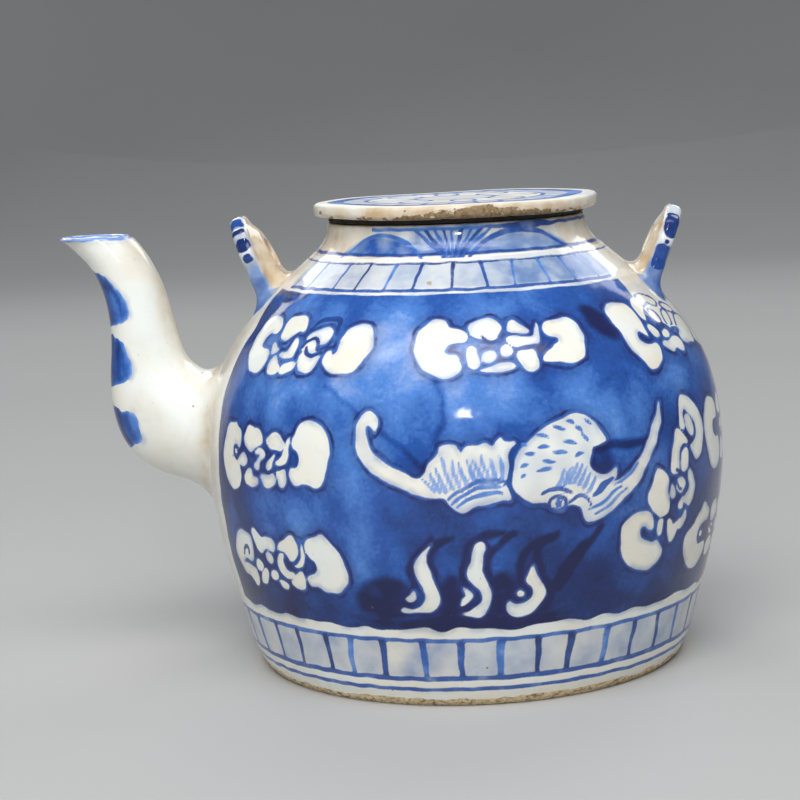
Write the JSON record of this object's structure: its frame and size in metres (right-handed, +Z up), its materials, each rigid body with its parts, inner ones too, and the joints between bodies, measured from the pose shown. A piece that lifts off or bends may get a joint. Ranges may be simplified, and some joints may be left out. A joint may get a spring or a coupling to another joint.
{
  "type": "porcelain teapot",
  "caption": "Barrel-shaped porcelain teapot with a curved spout, upright shoulder lugs for a bail handle and a flat lift-off lid, painted in underglaze blue.",
  "frame": {"origin": "middle of the footprint of the whole teapot, on the surface it stands on", "axes": "+Z up along the pot's axis; the spout points along -X; y = 0 is the plane of symmetry through the spout and both lugs. The pot's own axis stands 22.5 mm along +X from the origin"},
  "size_m": [0.207, 0.162, 0.1446],
  "materials": {
    "cobalt_glaze": "glossy clear glaze over cobalt blue painting",
    "pale_blue_glaze": "glossy clear glaze over a thin blue wash",
    "white_glaze": "glossy greenish-white glaze with faint brown stains",
    "burnt_clay": "unglazed, burnt brown in the kiln, matt",
    "dark_clay": "unglazed, dark with use, matt"
  },
  "bodies": {
    "pot": {"foot_ring": "burnt_clay", "body_lower": "cobalt_glaze", "body_upper": "cobalt_glaze", "neck_collar": "pale_blue_glaze", "spout": "white_glaze", "lug_front": "pale_blue_glaze", "lug_rear": "pale_blue_glaze"},
    "lid": {"lid_plate": "white_glaze", "lid_seat_ring": "dark_clay", "lid_flange": "burnt_clay"}
  },
  "joints": [
    {"name": "lid_lift", "type": "slide", "parent": "pot", "child": "lid", "axis": [0, 0, 1], "range_m": [0, 0.06]}
  ]
}
